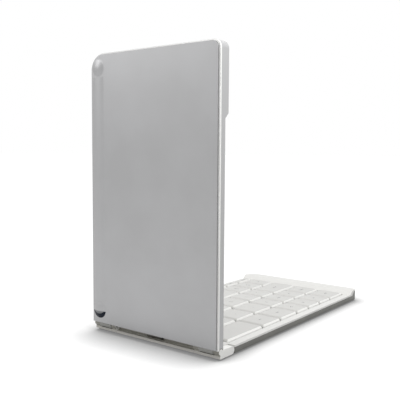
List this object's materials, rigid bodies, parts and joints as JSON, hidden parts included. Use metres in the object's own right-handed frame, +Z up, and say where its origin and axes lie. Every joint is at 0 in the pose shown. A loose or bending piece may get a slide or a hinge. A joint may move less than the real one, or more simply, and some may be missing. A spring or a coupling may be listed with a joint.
{
  "type": "folding keyboard",
  "caption": "Pocket keyboard in two hinged halves joined by a spine with two hinges; it opens flat for typing and shuts face to face.",
  "frame": {"origin": "on the table, under the middle of the half-open keyboard's box", "axes": "+X runs from the hinge to the lying half's outer end, +Y to the rear row of keys, +Z up"},
  "size_m": [0.1588, 0.084, 0.1484],
  "materials": {
    "tray_aluminium": "anodised, fine satin",
    "back_aluminium": "anodised, fine satin",
    "white_plastic": "fine satin",
    "key_plastic": "fine satin",
    "steel": "bright rolled",
    "screw_steel": "nickel plated",
    "magnet": "nickel plated",
    "membrane_film": "smooth film",
    "dome_rubber": "matte",
    "foot_rubber": "matte",
    "link_plastic": "smooth",
    "cable_film": "smooth film",
    "battery_foil": "soft foil",
    "board_resin": "solder mask",
    "port_steel": "tin plated",
    "switch_plastic": "ridged",
    "light_rod": "clear"
  },
  "bodies": {
    "right_half": {"right_tray": "tray_aluminium", "right_frame": "white_plastic", "right_support_plate": "steel", "right_membrane": "membrane_film", "right_domes": "dome_rubber", "right_scissors": "link_plastic", "right_magnets": "magnet", "right_feet": "foot_rubber", "right_screws": "screw_steel"},
    "spine": {"hinge_spine": "white_plastic", "hinge_pins": "steel", "flex_cable": "cable_film"},
    "left_half": {"back_cover": "back_aluminium", "back_pad": "foot_rubber", "left_frame": "white_plastic", "compartment_cover": "white_plastic", "left_support_plate": "steel", "left_membrane": "membrane_film", "left_domes": "dome_rubber", "left_scissors": "link_plastic", "left_magnets": "magnet", "left_screws": "screw_steel", "battery": "battery_foil", "circuit_board": "board_resin", "usb_port": "port_steel", "status_light": "light_rod"},
    "switch_slider": {"power_switch": "switch_plastic"},
    "space_bar_right": {"space_bar_right": "key_plastic"},
    "key_n": {"key_n": "key_plastic"},
    "key_m": {"key_m": "key_plastic"},
    "key_h": {"key_h": "key_plastic"},
    "key_j": {"key_j": "key_plastic"},
    "key_k": {"key_k": "key_plastic"},
    "key_l": {"key_l": "key_plastic"},
    "key_y": {"key_y": "key_plastic"},
    "key_u": {"key_u": "key_plastic"},
    "key_i": {"key_i": "key_plastic"},
    "key_o": {"key_o": "key_plastic"},
    "key_p": {"key_p": "key_plastic"},
    "punctuation_keys": {"punctuation_keys": "key_plastic"},
    "right_command_keys": {"right_command_keys": "key_plastic"},
    "right_top_row_keys": {"right_top_row_keys": "key_plastic"},
    "space_bar_left": {"space_bar_left": "key_plastic"},
    "key_b": {"key_b": "key_plastic"},
    "key_v": {"key_v": "key_plastic"},
    "key_c": {"key_c": "key_plastic"},
    "key_x": {"key_x": "key_plastic"},
    "key_z": {"key_z": "key_plastic"},
    "key_g": {"key_g": "key_plastic"},
    "key_f": {"key_f": "key_plastic"},
    "key_d": {"key_d": "key_plastic"},
    "key_s": {"key_s": "key_plastic"},
    "key_a": {"key_a": "key_plastic"},
    "key_t": {"key_t": "key_plastic"},
    "key_r": {"key_r": "key_plastic"},
    "key_e": {"key_e": "key_plastic"},
    "key_w": {"key_w": "key_plastic"},
    "key_q": {"key_q": "key_plastic"},
    "left_command_keys": {"left_command_keys": "key_plastic"},
    "left_top_row_keys": {"left_top_row_keys": "key_plastic"}
  },
  "joints": [
    {"name": "spine_fold", "type": "hinge", "parent": "right_half", "child": "spine", "pos_m": [-0.06603, 0, 0.00295], "axis": [0, 1, 0], "range_deg": [0, 90]},
    {"name": "left_fold", "type": "hinge", "parent": "spine", "child": "left_half", "pos_m": [-0.07512, 0, 0.0043], "axis": [0, 1, 0], "range_deg": [-90, 0], "deforming": ["flex_cable"]},
    {"name": "power_switch_slide", "type": "slide", "parent": "left_half", "child": "switch_slider", "axis": [0, 0, 1], "range_m": [0, 0.003]},
    {"name": "press_space_bar_right", "type": "slide", "parent": "right_half", "child": "space_bar_right", "axis": [0, 0, -1], "range_m": [0, 0.0013], "stiffness_N_per_m": 500, "deforming": ["right_domes", "right_scissors"]},
    {"name": "press_n", "type": "slide", "parent": "right_half", "child": "key_n", "axis": [0, 0, -1], "range_m": [0, 0.0013], "stiffness_N_per_m": 500},
    {"name": "press_m", "type": "slide", "parent": "right_half", "child": "key_m", "axis": [0, 0, -1], "range_m": [0, 0.0013], "stiffness_N_per_m": 500},
    {"name": "press_h", "type": "slide", "parent": "right_half", "child": "key_h", "axis": [0, 0, -1], "range_m": [0, 0.0013], "stiffness_N_per_m": 500},
    {"name": "press_j", "type": "slide", "parent": "right_half", "child": "key_j", "axis": [0, 0, -1], "range_m": [0, 0.0013], "stiffness_N_per_m": 500},
    {"name": "press_k", "type": "slide", "parent": "right_half", "child": "key_k", "axis": [0, 0, -1], "range_m": [0, 0.0013], "stiffness_N_per_m": 500},
    {"name": "press_l", "type": "slide", "parent": "right_half", "child": "key_l", "axis": [0, 0, -1], "range_m": [0, 0.0013], "stiffness_N_per_m": 500},
    {"name": "press_y", "type": "slide", "parent": "right_half", "child": "key_y", "axis": [0, 0, -1], "range_m": [0, 0.0013], "stiffness_N_per_m": 500},
    {"name": "press_u", "type": "slide", "parent": "right_half", "child": "key_u", "axis": [0, 0, -1], "range_m": [0, 0.0013], "stiffness_N_per_m": 500},
    {"name": "press_i", "type": "slide", "parent": "right_half", "child": "key_i", "axis": [0, 0, -1], "range_m": [0, 0.0013], "stiffness_N_per_m": 500},
    {"name": "press_o", "type": "slide", "parent": "right_half", "child": "key_o", "axis": [0, 0, -1], "range_m": [0, 0.0013], "stiffness_N_per_m": 500},
    {"name": "press_p", "type": "slide", "parent": "right_half", "child": "key_p", "axis": [0, 0, -1], "range_m": [0, 0.0013], "stiffness_N_per_m": 500},
    {"name": "press_punctuation_keys", "type": "slide", "parent": "right_half", "child": "punctuation_keys", "axis": [0, 0, -1], "range_m": [0, 0.0013], "stiffness_N_per_m": 4000},
    {"name": "press_right_command_keys", "type": "slide", "parent": "right_half", "child": "right_command_keys", "axis": [0, 0, -1], "range_m": [0, 0.0013], "stiffness_N_per_m": 5000},
    {"name": "press_right_top_row_keys", "type": "slide", "parent": "right_half", "child": "right_top_row_keys", "axis": [0, 0, -1], "range_m": [0, 0.0013], "stiffness_N_per_m": 4500},
    {"name": "press_space_bar_left", "type": "slide", "parent": "left_half", "child": "space_bar_left", "axis": [-1, 0, 0], "range_m": [0, 0.0013], "stiffness_N_per_m": 500, "deforming": ["left_domes", "left_scissors"]},
    {"name": "press_b", "type": "slide", "parent": "left_half", "child": "key_b", "axis": [-1, 0, 0], "range_m": [0, 0.0013], "stiffness_N_per_m": 500},
    {"name": "press_v", "type": "slide", "parent": "left_half", "child": "key_v", "axis": [-1, 0, 0], "range_m": [0, 0.0013], "stiffness_N_per_m": 500},
    {"name": "press_c", "type": "slide", "parent": "left_half", "child": "key_c", "axis": [-1, 0, 0], "range_m": [0, 0.0013], "stiffness_N_per_m": 500},
    {"name": "press_x", "type": "slide", "parent": "left_half", "child": "key_x", "axis": [-1, 0, 0], "range_m": [0, 0.0013], "stiffness_N_per_m": 500},
    {"name": "press_z", "type": "slide", "parent": "left_half", "child": "key_z", "axis": [-1, 0, 0], "range_m": [0, 0.0013], "stiffness_N_per_m": 500},
    {"name": "press_g", "type": "slide", "parent": "left_half", "child": "key_g", "axis": [-1, 0, 0], "range_m": [0, 0.0013], "stiffness_N_per_m": 500},
    {"name": "press_f", "type": "slide", "parent": "left_half", "child": "key_f", "axis": [-1, 0, 0], "range_m": [0, 0.0013], "stiffness_N_per_m": 500},
    {"name": "press_d", "type": "slide", "parent": "left_half", "child": "key_d", "axis": [-1, 0, 0], "range_m": [0, 0.0013], "stiffness_N_per_m": 500},
    {"name": "press_s", "type": "slide", "parent": "left_half", "child": "key_s", "axis": [-1, 0, 0], "range_m": [0, 0.0013], "stiffness_N_per_m": 500},
    {"name": "press_a", "type": "slide", "parent": "left_half", "child": "key_a", "axis": [-1, 0, 0], "range_m": [0, 0.0013], "stiffness_N_per_m": 500},
    {"name": "press_t", "type": "slide", "parent": "left_half", "child": "key_t", "axis": [-1, 0, 0], "range_m": [0, 0.0013], "stiffness_N_per_m": 500},
    {"name": "press_r", "type": "slide", "parent": "left_half", "child": "key_r", "axis": [-1, 0, 0], "range_m": [0, 0.0013], "stiffness_N_per_m": 500},
    {"name": "press_e", "type": "slide", "parent": "left_half", "child": "key_e", "axis": [-1, 0, 0], "range_m": [0, 0.0013], "stiffness_N_per_m": 500},
    {"name": "press_w", "type": "slide", "parent": "left_half", "child": "key_w", "axis": [-1, 0, 0], "range_m": [0, 0.0013], "stiffness_N_per_m": 500},
    {"name": "press_q", "type": "slide", "parent": "left_half", "child": "key_q", "axis": [-1, 0, 0], "range_m": [0, 0.0013], "stiffness_N_per_m": 500},
    {"name": "press_left_command_keys", "type": "slide", "parent": "left_half", "child": "left_command_keys", "axis": [-1, 0, 0], "range_m": [0, 0.0013], "stiffness_N_per_m": 3500},
    {"name": "press_left_top_row_keys", "type": "slide", "parent": "left_half", "child": "left_top_row_keys", "axis": [-1, 0, 0], "range_m": [0, 0.0013], "stiffness_N_per_m": 3500}
  ]
}
